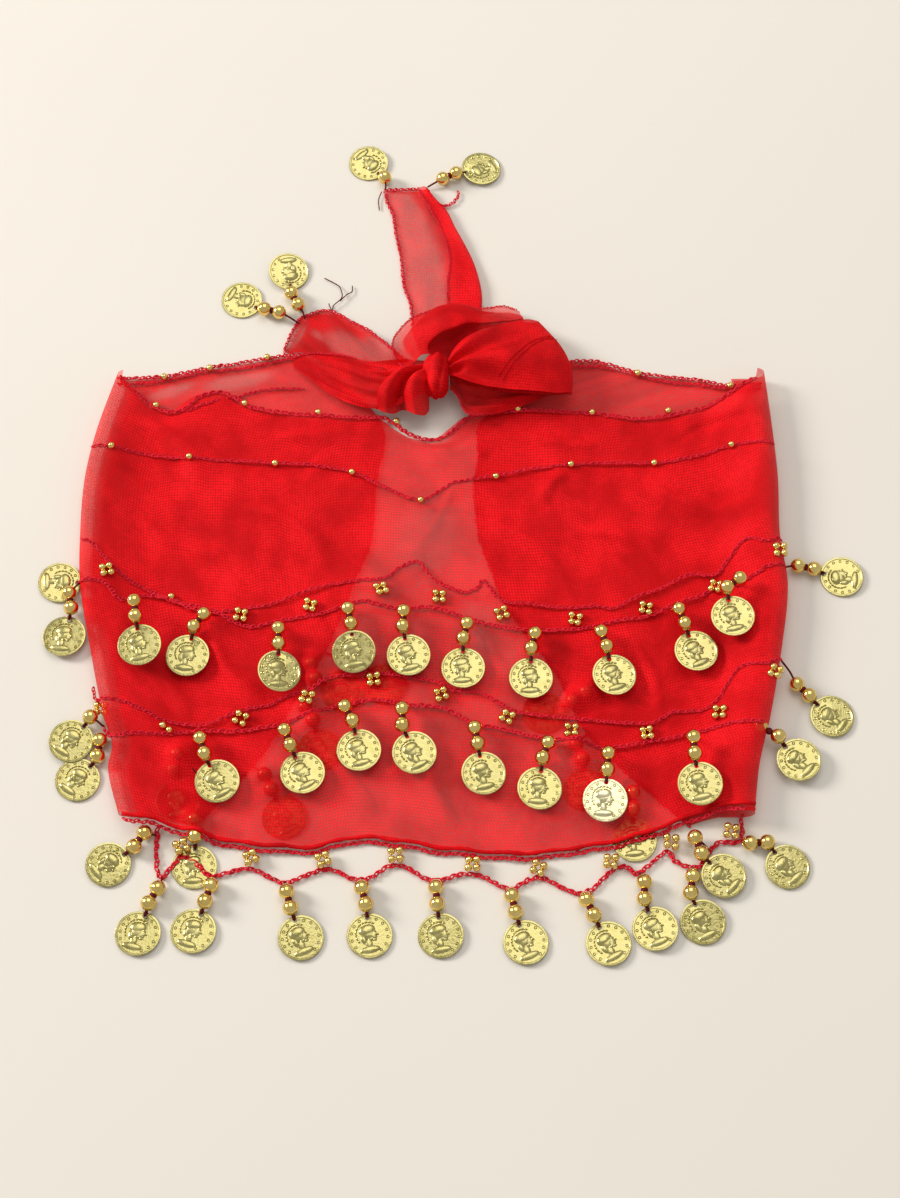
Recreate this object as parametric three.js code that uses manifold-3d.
// Belly dance hip scarf: one long sheer scarf wrapped into a flat tube, knotted into a bow and laid down.
// Millimetres. X runs across the front, Y from the coin hem up to the bow, Z up from the surface it lies on.
// The tables use a layout whose zero lies in the middle of the front; the last lines centre the model.
import * as THREE from "three";
import { mergeVertices } from "three/addons/utils/BufferGeometryUtils.js";
import Module from "manifold-3d";

const wasm = await Module();
wasm.setup();

// ---- driving dimensions ----
const WALL = 1.2; // cloth wall
const SEAM = 0.3; // clearance between neighbouring pieces
const TUCK = 10; // cloth of the front that lies under each side fold
const LEFT_FOLD = 5; // outer radius of the rolled side folds
const RIGHT_FOLD = 6;
const RAMP = 28; // width over which the front comes down from a side fold
const FRONT_TOP = 2 * WALL + SEAM; // top of the front where it lies on the back stretches
const TRIM_WALL = 1; // crocheted chains and coin bands
const TRIM_GAP = 0.7; // clearance of a trim above the faceted front
const CHAIN_WIDTH = 2;
const COIN_RADIUS = 10;
const COIN_WALL = 1;
const BEAD_RADIUS = 3.7;
const BEAD_PITCH = 7.6; // from bead to bead on a pendant
const COIN_DROP = 13.6; // from the last bead to the middle of the coin
const THREAD = 0.9; // crochet thread
const OUTLINE_FOOT = -107; // height at which the tube's outline starts and ends
const OUTLINE_HEAD = 118;

// ---- the flat tube ----
// Side folds, from the hem to the top corners.
const FOLDS = [
  { y: -107, left: -148, right: 136 },
  { y: -86, left: -154, right: 139 },
  { y: -74, left: -153, right: 142 },
  { y: -60, left: -158, right: 146 },
  { y: -28, left: -166, right: 153 },
  { y: 4, left: -173, right: 158 },
  { y: 30, left: -175, right: 156 },
  { y: 60, left: -175, right: 157 },
  { y: 87, left: -171, right: 156 },
  { y: 118, left: -163, right: 154 },
];
const HEM = [
  { x: -149, y: -107 },
  { x: -136, y: -109 },
  { x: -114, y: -114 },
  { x: -86, y: -120 },
  { x: -62, y: -121 },
  { x: -45, y: -117 },
  { x: -24, y: -118 },
  { x: 2, y: -122 },
  { x: 28, y: -124 },
  { x: 60, y: -121 },
  { x: 88, y: -114 },
  { x: 118, y: -104 },
  { x: 137, y: -103 },
];
// Top edge of the front: it has slid down and dips in the middle.
const TOP_EDGE = [
  { x: -164, y: 117 },
  { x: -155, y: 111 },
  { x: -143, y: 101 },
  { x: -131, y: 99 },
  { x: -122, y: 107 },
  { x: -110, y: 109 },
  { x: -98, y: 102 },
  { x: -80, y: 98 },
  { x: -44, y: 95 },
  { x: -26, y: 92 },
  { x: -7, y: 84 },
  { x: 6, y: 93 },
  { x: 33, y: 99 },
  { x: 69, y: 98 },
  { x: 92, y: 95 },
  { x: 124, y: 101 },
  { x: 148, y: 113 },
  { x: 155, y: 114 },
];
// Broad soft ridges of the front: middle, half length, half width, direction in degrees, rise.
const RIDGES = [
  { x: -100, y: 55, length: 46, width: 19, turn: -28, rise: 1.4 },
  { x: -60, y: -10, length: 52, width: 20, turn: 34, rise: 1.2 },
  { x: -4, y: 38, length: 44, width: 18, turn: 64, rise: 1.6 },
  { x: 74, y: 48, length: 50, width: 19, turn: 22, rise: 1.3 },
  { x: 92, y: -38, length: 46, width: 19, turn: -36, rise: 1.2 },
  { x: -96, y: -84, length: 44, width: 18, turn: 12, rise: 1.1 },
];
// Inner edges of the two back stretches: the scarf's own hem, rising on both sides to the knot.
const BACK_LEFT_EDGE = [
  { y: -111, x: -114 },
  { y: -92, x: -97 },
  { y: -75, x: -84 },
  { y: -46, x: -69 },
  { y: -21, x: -56 },
  { y: 10, x: -45 },
  { y: 30, x: -38 },
  { y: 61, x: -36 },
  { y: 92, x: -33 },
  { y: 115, x: -52 },
  { y: 131, x: -72 },
];
const BACK_RIGHT_EDGE = [
  { y: -111, x: 107 },
  { y: -98, x: 93 },
  { y: -80, x: 74 },
  { y: -61, x: 59 },
  { y: -41, x: 51 },
  { y: -3, x: 26 },
  { y: 14, x: 20 },
  { y: 29, x: 15 },
  { y: 55, x: 12 },
  { y: 76, x: 14 },
  { y: 94, x: 15 },
  { y: 105, x: 26 },
  { y: 128, x: 60 },
];
const BACK_LEFT_TOP = [
  { x: -163, y: 118 },
  { x: -140, y: 119 },
  { x: -123, y: 123 },
  { x: -101, y: 127 },
  { x: -81, y: 131 },
  { x: -72, y: 131 },
];
const BACK_RIGHT_TOP = [
  { x: 60, y: 128 },
  { x: 74, y: 127 },
  { x: 93, y: 121 },
  { x: 122, y: 117 },
  { x: 136, y: 114 },
  { x: 154, y: 115 },
];

// ---- the crocheted trims ----
const UPPER_CHAIN = [
  { x: -167, y: 76 },
  { x: -125, y: 72 },
  { x: -84, y: 70 },
  { x: -47, y: 65 },
  { x: -14, y: 50 },
  { x: 22, y: 63 },
  { x: 58, y: 69 },
  { x: 98, y: 70 },
  { x: 135, y: 78 },
  { x: 150, y: 77 },
];
// Each coin band is a net between an upper and a lower chain.
const COIN_BAND_UPPER = [
  { x: -167, low: 5, high: 24 },
  { x: -153, low: -3, high: 10 },
  { x: -139, low: -1, high: 3 },
  { x: -121, low: -7, high: -3.5 },
  { x: -107, low: -11, high: -7 },
  { x: -92, low: -16, high: -6 },
  { x: -66, low: -11, high: 3 },
  { x: -40, low: -4, high: 8 },
  { x: -16, low: -6, high: 17 },
  { x: 2, low: -9, high: 4 },
  { x: 25, low: -16, high: -2 },
  { x: 56, low: -17, high: -6 },
  { x: 76, low: -13, high: -6 },
  { x: 105, low: -4, high: 7 },
  { x: 124, low: 5, high: 11 },
  { x: 139, low: 8, high: 26 },
  { x: 150, low: 11, high: 26 },
];
const COIN_BAND_LOWER = [
  { x: -149, low: -68, high: -53 },
  { x: -142, low: -70, high: -57 },
  { x: -121, low: -68, high: -63 },
  { x: -108, low: -68, high: -63 },
  { x: -82, low: -65, high: -54 },
  { x: -55, low: -56, high: -43 },
  { x: -36, low: -52, high: -39 },
  { x: -5, low: -56, high: -43 },
  { x: 23, low: -66, high: -54 },
  { x: 56, low: -72, high: -61 },
  { x: 92, low: -71, high: -63 },
  { x: 118, low: -67, high: -55 },
  { x: 126, low: -66, high: -47 },
  { x: 133, low: -65, high: -40 },
];
// Foot of the fringe net below the hem: peaks at the bead clusters, valleys at the pendants.
const FRINGE_FOOT = [
  { x: -131, y: -125 },
  { x: -127, y: -134 },
  { x: -118, y: -125 },
  { x: -105, y: -133 },
  { x: -88, y: -130 },
  { x: -73, y: -135.5 },
  { x: -55, y: -131 },
  { x: -39, y: -134 },
  { x: -24, y: -129 },
  { x: -8, y: -134 },
  { x: 10, y: -132 },
  { x: 26, y: -138 },
  { x: 39, y: -135 },
  { x: 58, y: -139.5 },
  { x: 72, y: -130 },
  { x: 84, y: -131.5 },
  { x: 96, y: -122 },
  { x: 107, y: -128 },
  { x: 118, y: -118 },
  { x: 127, y: -116 },
];

// ---- the pendants ----
// Middle of the coin, direction from the last bead to the coin and from bead to bead, in degrees.
// A row states beads where fewer than two hang clear of the cloth, and lift where it lies on its neighbour.
const UPPER_PENDANTS = [
  { x: -183, y: 8, coin: -179, bead: -167, beads: 0 },
  { x: -178.5, y: -20, coin: -101, bead: -79, lift: 1.4 },
  { x: -142, y: -28, coin: -80, bead: -83 },
  { x: -120.5, y: -31, coin: -100, bead: -126 },
  { x: -78, y: -40, coin: -87, bead: -88 },
  { x: -44, y: -30, coin: -83, bead: -78 },
  { x: -19, y: -31, coin: -78, bead: -93 },
  { x: 6, y: -37, coin: -90, bead: -104 },
  { x: 37, y: -42, coin: -91, bead: -104 },
  { x: 75, y: -41, coin: -76, bead: -73 },
  { x: 113, y: -29, coin: -69, bead: -71 },
  { x: 130, y: -14, coin: -80, bead: -144 },
  { x: 184, y: 11, coin: -12, bead: -12 },
];
const LOWER_PENDANTS = [
  { x: -171.5, y: -71.5, coin: -128, bead: -100, beads: 1, lift: 1.4 },
  { x: -167.5, y: -89.5, coin: -130, bead: -94 },
  { x: -104, y: -92, coin: -63, bead: -73 },
  { x: -66, y: -88, coin: -65, bead: -68 },
  { x: -41, y: -77, coin: -77, bead: -61 },
  { x: -16, y: -79, coin: -66, bead: -89 },
  { x: 15, y: -88, coin: -79, bead: -80 },
  { x: 40, y: -95, coin: -96, bead: -110 },
  { x: 69, y: -101, coin: -95, bead: -95 },
  { x: 111, y: -95, coin: -81, bead: -89 },
  { x: 157, y: -81, coin: -48, bead: -48, beads: 1 },
  { x: 174, y: -59, coin: -42, bead: -47 },
];
const FRINGE_PENDANTS = [
  { x: -151, y: -129, coin: -146, bead: -124 },
  { x: -136, y: -160, coin: -108, bead: -119 },
  { x: -112, y: -159, coin: -111, bead: -107 },
  { x: -65, y: -162, coin: -70, bead: -75 },
  { x: -35, y: -161, coin: -82, bead: -76 },
  { x: -4, y: -161, coin: -83, bead: -86 },
  { x: 33, y: -164, coin: -71, bead: -78 },
  { x: 69, y: -164.5, coin: -63, bead: -65 },
  { x: 89.5, y: -158, coin: -71, bead: -92 },
  { x: 110.5, y: -155, coin: -68, bead: -100 },
  { x: 120.5, y: -134.5, coin: -45, bead: -71, lift: WALL + SEAM },
  { x: 149, y: -130, coin: -51, bead: 3 },
];
const TAIL_PENDANTS = [
  { x: -42, y: 245.5, coin: 129, bead: 129, beads: 1 },
  { x: 16, y: 242, coin: 19, bead: 27 },
  { x: -81, y: 179, coin: 98, bead: 118 },
  { x: -104, y: 163, coin: 150, bead: 165 },
];

// ---- the bow ----
const KNOT = { x: -6, y: 114, z: 13, width: 8, length: 13, height: 9 };
// Gathered necks of the back stretches, from the panel to the knot: edges, height of the middle, pleat depth.
const GATHER_LEFT = [
  { x: -77, low: 124, high: 129, z: 2.1, pleat: 0 },
  { x: -68, low: 116, high: 131, z: 2.8, pleat: 0.2 },
  { x: -58, low: 107, high: 130, z: 4.2, pleat: 0.7 },
  { x: -48, low: 101, high: 127, z: 6, pleat: 1.3 },
  { x: -40, low: 98, high: 124, z: 7.5, pleat: 1.8 },
  { x: -30, low: 96, high: 122, z: 9.5, pleat: 2 },
  { x: -22, low: 98, high: 120, z: 11, pleat: 1.8 },
  { x: -15.6, low: 104, high: 119, z: 12, pleat: 1.2 },
];
const GATHER_RIGHT = [
  { x: 4, low: 105, high: 118, z: 8.5, pleat: 1 },
  { x: 10, low: 100, high: 120, z: 7.5, pleat: 1.2 },
  { x: 16, low: 98.5, high: 121, z: 6.5, pleat: 1.2 },
  { x: 25, low: 100.5, high: 122, z: 5.2, pleat: 0.9 },
  { x: 36, low: 102, high: 124, z: 4, pleat: 0.6 },
  { x: 48, low: 108, high: 126, z: 3, pleat: 0.3 },
  { x: 60, low: 121, high: 127, z: 2.1, pleat: 0 },
];
const LEFT_PLEATS = 3;
const RIGHT_PLEATS = 2;
// The big loop of the bow, seen from its side: distance out along its own line, height, half width.
const BOW_LOOP = { x: 3.4, y: 113, turn: 12 };
const BOW_LOOP_PATH = [
  { out: 0, z: 12, half: 6 },
  { out: 12, z: 10.5, half: 12 },
  { out: 28, z: 8.5, half: 18 },
  { out: 44, z: 7.5, half: 22 },
  { out: 53, z: 8.5, half: 24 },
  { out: 56, z: 12, half: 24 },
  { out: 53, z: 15.5, half: 24 },
  { out: 42, z: 19.5, half: 21 },
  { out: 26, z: 22, half: 16 },
  { out: 12, z: 21, half: 11 },
  { out: 0, z: 17.5, half: 6 },
];
// The small ring loop: the middle of its band and half its width, from the knot round and over the tail.
const RING_LOOP = [
  { x: -16, y: 124, z: 14, half: 3.5 },
  { x: -22, y: 130, z: 15, half: 4.5 },
  { x: -22.5, y: 140, z: 15.5, half: 5 },
  { x: -15, y: 148, z: 15, half: 6 },
  { x: -2, y: 152, z: 13, half: 6.5 },
  { x: 10, y: 152, z: 10.5, half: 6.5 },
  { x: 22, y: 150, z: 7.5, half: 6 },
  { x: 33, y: 147, z: 4.6, half: 5 },
];
// The upward tail: open edge, folded edge and the hem that the fold brings back over it.
const TAIL_UP = [
  { y: 130, open: -14, fold: 8, hem: 2, z: 4.5 },
  { y: 145, open: -18, fold: 14, hem: 0, z: 1.6 },
  { y: 160, open: -19.5, fold: 16, hem: -1, z: 0.6 },
  { y: 172, open: -23, fold: 15, hem: -1, z: 0.6 },
  { y: 187, open: -24.5, fold: 11, hem: 0, z: 0.6 },
  { y: 203, open: -27.5, fold: 3.5, hem: -4, z: 0.6 },
  { y: 214, open: -29, fold: -1, hem: -9, z: 0.6 },
  { y: 222, open: -32, fold: -7, hem: -13, z: 0.6 },
  { y: 229, open: -33.5, fold: -12, hem: -17, z: 0.6 },
];
const TAIL_FOLD = 1.5; // radius at which the tail doubles back
// The short tail to the left: lower and upper edge and height of the middle.
const TAIL_LEFT = [
  { x: -81.5, low: 132.6, high: 135, z: 0.6 },
  { x: -78, low: 132.4, high: 145, z: 0.6 },
  { x: -73, low: 132.2, high: 153, z: 0.6 },
  { x: -60, low: 127, high: 156, z: 0.8 },
  { x: -50, low: 122, high: 150, z: 2 },
  { x: -40, low: 118, high: 143, z: 4 },
  { x: -31, low: 115, high: 134, z: 6 },
  { x: -24, low: 113, high: 126, z: 7.5 },
  { x: -18, low: 112, high: 121, z: 8.4 },
];

// ---- materials ----
const chiffon = new THREE.MeshStandardMaterial({ color: "#d81420", roughness: 0.75, metalness: 0 });
const crochet = new THREE.MeshStandardMaterial({ color: "#a81428", roughness: 0.8, metalness: 0 });
const gilt = new THREE.MeshStandardMaterial({ color: "#c4ad55", roughness: 0.3, metalness: 1 });

const scarf = new THREE.Group();
const { lerp, smoothstep, degToRad, clamp } = THREE.MathUtils;

function add(name, geometry, material) {
  const mesh = new THREE.Mesh(geometry, material.clone());
  mesh.name = name;
  scarf.add(mesh);
  return mesh;
}

// ---- curves through the tables ----
// The value of a column where the key column stands at a place, on a smooth curve through the rows.
function read(table, key, column, at) {
  const last = table.length - 1;
  const place = clamp(at, table[0][key], table[last][key]);
  let k = 0;
  while (k < last - 1 && table[k + 1][key] < place) {
    k += 1;
  }
  const span = table[k + 1][key] - table[k][key];
  const t = (place - table[k][key]) / span;
  const startSlope = slope(table, key, column, k) * span;
  const endSlope = slope(table, key, column, k + 1) * span;
  const start = table[k][column];
  const end = table[k + 1][column];
  const bend = (t - 1) * (t - 1) * t * startSlope + (t - 1) * t * t * endSlope;
  return lerp(start, end, t * t * (3 - 2 * t)) + bend;
}

function slope(table, key, column, k) {
  const before = table[Math.max(k - 1, 0)];
  const after = table[Math.min(k + 1, table.length - 1)];
  return (after[column] - before[column]) / (after[key] - before[key]);
}

// The row at a share of a table's length, counted from row to row.
function station(table, share) {
  const rows = table.map((row, k) => ({ ...row, k }));
  const at = share * (table.length - 1);
  const columns = Object.keys(table[0]);
  return Object.fromEntries(columns.map((column) => [column, read(rows, "k", column, at)]));
}

const leftFold = (y) => read(FOLDS, "y", "left", y);
const rightFold = (y) => read(FOLDS, "y", "right", y);
const hem = (x) => read(HEM, "x", "y", x);
const topEdge = (x) => read(TOP_EDGE, "x", "y", x);

// ---- cloth walls ----
// A wall of cloth over a grid of cells; middle(i, j) gives the middle of the cloth at a grid corner.
function clothWall(columns, rows, middle, wall = WALL) {
  const grid = [];
  for (let i = 0; i <= columns; i += 1) {
    grid.push([]);
    for (let j = 0; j <= rows; j += 1) {
      grid[i].push(middle(i, j));
    }
  }
  const geometry = new THREE.BoxGeometry(1, 1, 1, columns, rows, 1);
  const places = geometry.attributes.position;
  for (let n = 0; n < places.count; n += 1) {
    const i = Math.round((places.getX(n) + 0.5) * columns);
    const j = Math.round((places.getY(n) + 0.5) * rows);
    const offset = facing(grid, i, j).multiplyScalar(places.getZ(n) * wall);
    const point = grid[i][j].clone().add(offset);
    places.setXYZ(n, point.x, point.y, point.z);
  }
  return geometry;
}

function facing(grid, i, j) {
  const before = grid[Math.max(i - 1, 0)][j];
  const after = grid[Math.min(i + 1, grid.length - 1)][j];
  const below = grid[i][Math.max(j - 1, 0)];
  const above = grid[i][Math.min(j + 1, grid[i].length - 1)];
  const across = after.clone().sub(before);
  return across.cross(above.clone().sub(below)).normalize();
}

// ---- front stretch: rolled under at both side folds ----
function ridgeRise(x, y) {
  return RIDGES.reduce((sum, ridge) => {
    const angle = degToRad(ridge.turn);
    const along = (x - ridge.x) * Math.cos(angle) + (y - ridge.y) * Math.sin(angle);
    const across = (y - ridge.y) * Math.cos(angle) - (x - ridge.x) * Math.sin(angle);
    const reach = (along / ridge.length) ** 2 + (across / ridge.width) ** 2;
    return sum + ridge.rise * Math.exp(-reach);
  }, 0);
}

function foldRise(inset, radius) {
  if (inset < radius) {
    const rest = radius - Math.max(inset, 0);
    return radius + Math.sqrt(radius * radius - rest * rest);
  }
  const down = smoothstep(inset, radius, radius + RAMP);
  return lerp(2 * radius, FRONT_TOP, down);
}

// Height of the top face of the front.
function frontTop(x, y) {
  const left = foldRise(x - leftFold(y), LEFT_FOLD);
  const right = foldRise(rightFold(y) - x, RIGHT_FOLD);
  return Math.max(left, right) + ridgeRise(x, y);
}

function frontStations() {
  const rampSteps = 5;
  const middleSteps = 16;
  const stations = [{ side: "left", under: true }];
  const turnSteps = 4;
  for (let k = 0; k < turnSteps; k += 1) {
    stations.push({ side: "left", turned: k / turnSteps });
  }
  for (let k = 0; k <= rampSteps; k += 1) {
    stations.push({ side: "left", inset: LEFT_FOLD + (RAMP * k) / rampSteps });
  }
  for (let k = 1; k < middleSteps; k += 1) {
    stations.push({ share: k / middleSteps });
  }
  for (let k = rampSteps; k >= 0; k -= 1) {
    stations.push({ side: "right", inset: RIGHT_FOLD + (RAMP * k) / rampSteps });
  }
  for (let k = turnSteps - 1; k >= 0; k -= 1) {
    stations.push({ side: "right", turned: k / turnSteps });
  }
  stations.push({ side: "right", under: true });
  return stations;
}

// Where a station of the front's section lies at a height y: its place across and its height.
function frontSection(at, y) {
  if (at.side === undefined) {
    const x = lerp(leftFold(y) + LEFT_FOLD + RAMP, rightFold(y) - RIGHT_FOLD - RAMP, at.share);
    return { x, z: frontTop(x, y) - WALL / 2 };
  }
  const sign = at.side === "left" ? 1 : -1;
  const edge = at.side === "left" ? leftFold(y) : rightFold(y);
  const radius = at.side === "left" ? LEFT_FOLD : RIGHT_FOLD;
  if (at.under) {
    return { x: edge + sign * (radius + TUCK), z: WALL / 2 };
  }
  if (at.inset === undefined) {
    const angle = Math.PI * at.turned;
    const bend = radius - WALL / 2;
    return { x: edge + sign * (radius - bend * Math.sin(angle)), z: radius - bend * Math.cos(angle) };
  }
  const x = edge + sign * at.inset;
  return { x, z: frontTop(x, y) - WALL / 2 };
}

function frontStretch() {
  const stations = frontStations();
  const rows = 12;
  return clothWall(stations.length - 1, rows, (i, j) => {
    const at = stations[i];
    const inSideFold = at.under || at.turned !== undefined;
    const foot = inSideFold ? OUTLINE_FOOT : hem(frontSection(at, OUTLINE_FOOT).x);
    const head = inSideFold ? OUTLINE_HEAD : topEdge(frontSection(at, OUTLINE_HEAD).x);
    const y = lerp(foot, head, j / rows);
    const { x, z } = frontSection(at, y);
    return new THREE.Vector3(x, y, z);
  });
}

// ---- back stretches: flat on the surface, from the front's tuck to their own slanting hem ----
function backStretch(outer, inner, top) {
  const columns = 12;
  const rows = 12;
  const innerFoot = inner[0].y;
  const innerHead = inner[inner.length - 1].y;
  return clothWall(columns, rows, (i, j) => {
    const share = i / columns;
    const foot = lerp(OUTLINE_FOOT, innerFoot, share);
    const topX = lerp(outer(OUTLINE_HEAD), read(inner, "y", "x", innerHead), share);
    const y = lerp(foot, read(top, "x", "y", topX), j / rows);
    const x = lerp(outer(y), read(inner, "y", "x", y), share);
    return new THREE.Vector3(x, y, WALL / 2);
  });
}

// ---- trims lie on the front: a strip between a lower and an upper edge ----
function trim(low, high, from, to, steps, height) {
  return clothWall(steps, 1, (i, j) => {
    const x = lerp(from, to, i / steps);
    const y = j === 0 ? low(x) : high(x);
    return new THREE.Vector3(x, y, height(x, y));
  }, TRIM_WALL);
}

const onFront = (x, y) => frontTop(x, y) + TRIM_GAP + TRIM_WALL / 2;

function coinBand(table, steps) {
  const low = (x) => read(table, "x", "low", x);
  const high = (x) => read(table, "x", "high", x);
  return trim(low, high, table[0].x, table[table.length - 1].x, steps, onFront);
}

function chain(table, steps) {
  const middle = (x) => read(table, "x", "y", x);
  const low = (x) => middle(x) - CHAIN_WIDTH / 2;
  const high = (x) => middle(x) + CHAIN_WIDTH / 2;
  return trim(low, high, table[0].x, table[table.length - 1].x, steps, onFront);
}

// ---- pendants: two beads and a coin on one thread ----
function solid(geometry) {
  geometry.deleteAttribute("normal");
  geometry.deleteAttribute("uv");
  const merged = mergeVertices(geometry, 1e-4);
  return new wasm.Manifold(new wasm.Mesh({
    numProp: 3,
    vertProperties: new Float32Array(merged.attributes.position.array),
    triVerts: new Uint32Array(merged.index.array),
  }));
}

function fromSolid(body) {
  const mesh = body.getMesh();
  const geometry = new THREE.BufferGeometry();
  geometry.setAttribute("position", new THREE.BufferAttribute(new Float32Array(mesh.vertProperties), 3));
  geometry.setIndex(new THREE.BufferAttribute(new Uint32Array(mesh.triVerts), 1));
  return geometry;
}

function heading(degrees) {
  const angle = degToRad(degrees);
  return new THREE.Vector3(Math.cos(angle), Math.sin(angle), 0);
}

function bead(centre) {
  const ball = new THREE.SphereGeometry(BEAD_RADIUS, 7, 4);
  ball.rotateX(Math.PI / 2);
  ball.translate(centre.x, centre.y, BEAD_RADIUS);
  return solid(ball);
}

function threadBetween(start, end) {
  const run = end.clone().sub(start);
  const strand = new THREE.BoxGeometry(THREAD, THREAD, run.length());
  const turn = new THREE.Quaternion().setFromUnitVectors(new THREE.Vector3(0, 0, 1), run.normalize());
  strand.applyQuaternion(turn);
  const middle = start.clone().add(end).multiplyScalar(0.5);
  strand.translate(middle.x, middle.y, middle.z);
  return solid(strand);
}

// Around the middle of the coin, with the coin's under side at z = 0.
function pendantGeometry({ coin, bead: beadTurn, beads = 2 }) {
  const disc = new THREE.CylinderGeometry(COIN_RADIUS, COIN_RADIUS, COIN_WALL, 12);
  disc.rotateX(Math.PI / 2);
  disc.translate(0, 0, COIN_WALL / 2);
  const centre = heading(coin).multiplyScalar(-COIN_DROP);
  const rim = heading(coin).multiplyScalar(1 - COIN_RADIUS).setZ(COIN_WALL * 0.6);
  const strandEnd = beads > 0 ? centre.clone().setZ(BEAD_RADIUS) : heading(coin).multiplyScalar(-11).setZ(THREAD);
  let body = solid(disc).add(threadBetween(rim, strandEnd));
  for (let k = 0; k < beads; k += 1) {
    body = body.add(bead(centre));
    const next = centre.clone().addScaledVector(heading(beadTurn), -BEAD_PITCH);
    if (k + 1 < beads) {
      body = body.add(threadBetween(centre.clone().setZ(BEAD_RADIUS), next.clone().setZ(BEAD_RADIUS)));
    }
    centre.copy(next);
  }
  return fromSolid(body);
}

function highestUnder(row) {
  const inside = (x, y) => x > leftFold(y) && x < rightFold(y);
  const farBead = heading(row.coin).multiplyScalar(-COIN_DROP - BEAD_PITCH);
  let top = 0;
  for (let k = 0; k < 24; k += 1) {
    const rim = heading(k * 15).multiplyScalar(COIN_RADIUS);
    const side = farBead.clone().addScaledVector(heading(k * 15), BEAD_RADIUS);
    for (const end of [rim, side]) {
      const x = row.x + end.x;
      const y = row.y + end.y;
      top = inside(x, y) ? Math.max(top, frontTop(x, y)) : top;
    }
  }
  return top + TRIM_GAP + TRIM_WALL + SEAM;
}

function addPendants(prefix, rows, onCloth) {
  rows.forEach((row, k) => {
    const mesh = add(`${prefix}_${String(k + 1).padStart(2, "0")}`, pendantGeometry(row), gilt);
    const level = onCloth(row) ? highestUnder(row) : row.lift ?? 0;
    mesh.position.set(row.x, row.y, level);
  });
}

const overFront = (row) => row.x > leftFold(row.y) && row.x < rightFold(row.y);

// ---- bow ----
function gather(table, pleats, columns) {
  const rows = 4 * pleats;
  return clothWall(columns, rows, (i, j) => {
    const at = station(table, i / columns);
    const share = j / rows;
    const pleat = at.pleat * Math.sin(2 * Math.PI * pleats * share);
    return new THREE.Vector3(at.x, lerp(at.low, at.high, share), at.z + pleat);
  });
}

function knot() {
  const body = new THREE.SphereGeometry(1, 14, 10);
  body.scale(KNOT.width, KNOT.length, KNOT.height);
  body.translate(KNOT.x, KNOT.y, KNOT.z);
  return body;
}

function bowLoop() {
  const columns = 20;
  const rows = 4;
  const out = heading(BOW_LOOP.turn);
  const side = heading(BOW_LOOP.turn + 90);
  return clothWall(columns, rows, (i, j) => {
    const at = station(BOW_LOOP_PATH, i / columns);
    const aside = lerp(-at.half, at.half, j / rows);
    const x = BOW_LOOP.x + out.x * at.out + side.x * aside;
    const y = BOW_LOOP.y + out.y * at.out + side.y * aside;
    return new THREE.Vector3(x, y, at.z);
  });
}

function ringLoop() {
  const columns = 18;
  const rows = 4;
  const crown = 2.2; // the band is domed across its width
  return clothWall(columns, rows, (i, j) => {
    const at = station(RING_LOOP, i / columns);
    const before = station(RING_LOOP, Math.max(i - 1, 0) / columns);
    const after = station(RING_LOOP, Math.min(i + 1, columns) / columns);
    const run = Math.atan2(after.y - before.y, after.x - before.x) + Math.PI / 2;
    const share = (2 * j) / rows - 1;
    const x = at.x + Math.cos(run) * share * at.half;
    const y = at.y + Math.sin(run) * share * at.half;
    return new THREE.Vector3(x, y, at.z + crown * (1 - share * share));
  });
}

function tailUp() {
  const rows = 12;
  const openSteps = 4;
  const turnSteps = 3;
  const backSteps = 2;
  return clothWall(openSteps + turnSteps + backSteps, rows, (i, j) => {
    const at = station(TAIL_UP, j / rows);
    at.z = Math.max(at.z, WALL / 2);
    const edge = at.fold - TAIL_FOLD;
    if (i <= openSteps) {
      return new THREE.Vector3(lerp(at.open, edge, i / openSteps), at.y, at.z);
    }
    if (i < openSteps + turnSteps) {
      const angle = (Math.PI * (i - openSteps)) / turnSteps;
      const x = edge + TAIL_FOLD * Math.sin(angle);
      return new THREE.Vector3(x, at.y, at.z + TAIL_FOLD * (1 - Math.cos(angle)));
    }
    const share = (i - openSteps - turnSteps) / backSteps;
    return new THREE.Vector3(lerp(edge, at.hem, share), at.y, at.z + 2 * TAIL_FOLD);
  });
}

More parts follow.
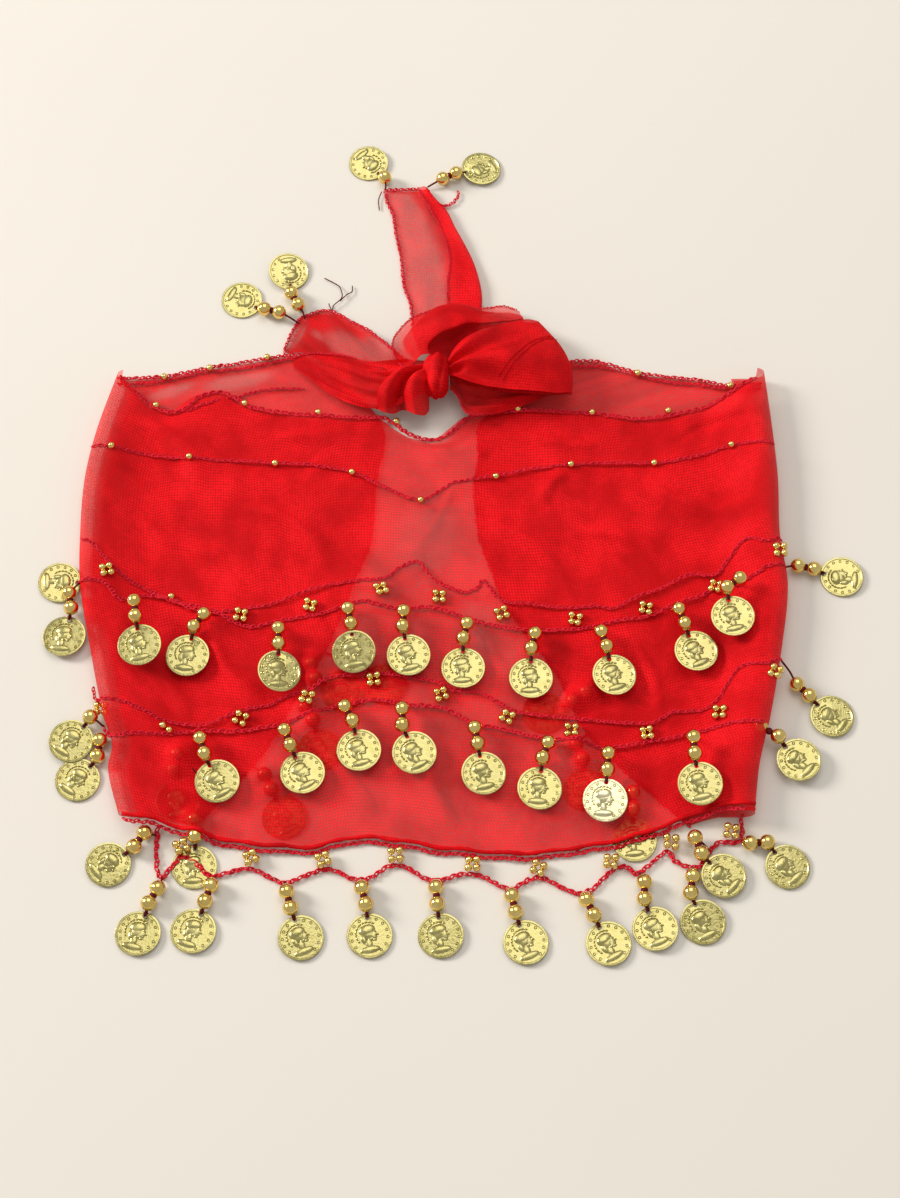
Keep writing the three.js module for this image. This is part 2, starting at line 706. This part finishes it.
function tailLeft() {
  const columns = 14;
  const rows = 4;
  return clothWall(columns, rows, (i, j) => {
    const at = station(TAIL_LEFT, i / columns);
    return new THREE.Vector3(at.x, lerp(at.low, at.high, j / rows), Math.max(at.z, WALL / 2));
  });
}

// ---- assembly ----
const behindLeft = (y) => leftFold(y) + LEFT_FOLD + TUCK + SEAM;
const behindRight = (y) => rightFold(y) - RIGHT_FOLD - TUCK - SEAM;
add("front_stretch", frontStretch(), chiffon);
add("back_stretch_left", backStretch(behindLeft, BACK_LEFT_EDGE, BACK_LEFT_TOP), chiffon);
add("back_stretch_right", backStretch(behindRight, BACK_RIGHT_EDGE, BACK_RIGHT_TOP), chiffon);
add("gather_left", gather(GATHER_LEFT, LEFT_PLEATS, 14), chiffon);
add("gather_right", gather(GATHER_RIGHT, RIGHT_PLEATS, 12), chiffon);
add("knot", knot(), chiffon);
add("bow_loop", bowLoop(), chiffon);
add("ring_loop", ringLoop(), chiffon);
add("tail_up", tailUp(), chiffon);
add("tail_left", tailLeft(), chiffon);

const edgeInset = 0.5;
const edgeFoot = (x) => topEdge(x) - edgeInset - CHAIN_WIDTH;
const edgeHead = (x) => topEdge(x) - edgeInset;
add("edge_chain", trim(edgeFoot, edgeHead, -154, 147, 44, onFront), crochet);
add("upper_chain", chain(UPPER_CHAIN, 36), crochet);
add("coin_band_upper", coinBand(COIN_BAND_UPPER, 48), crochet);
add("coin_band_lower", coinBand(COIN_BAND_LOWER, 44), crochet);
const fringeFoot = (x) => read(FRINGE_FOOT, "x", "y", x);
const backFoot = -111; // lowest point of the back stretches
const fringeHead = (x) => Math.min(hem(x), backFoot) - 1.5;
add("fringe_net", trim(fringeFoot, fringeHead, -131, 127, 50, () => TRIM_WALL / 2), crochet);

addPendants("upper_pendant", UPPER_PENDANTS, overFront);
addPendants("lower_pendant", LOWER_PENDANTS, overFront);
addPendants("fringe_pendant", FRINGE_PENDANTS, () => false);
addPendants("tail_pendant", TAIL_PENDANTS, () => false);

const box = new THREE.Box3().setFromObject(scarf);
const centre = box.getCenter(new THREE.Vector3());
scarf.position.set(-centre.x, -centre.y, -box.min.z);

export default scarf;
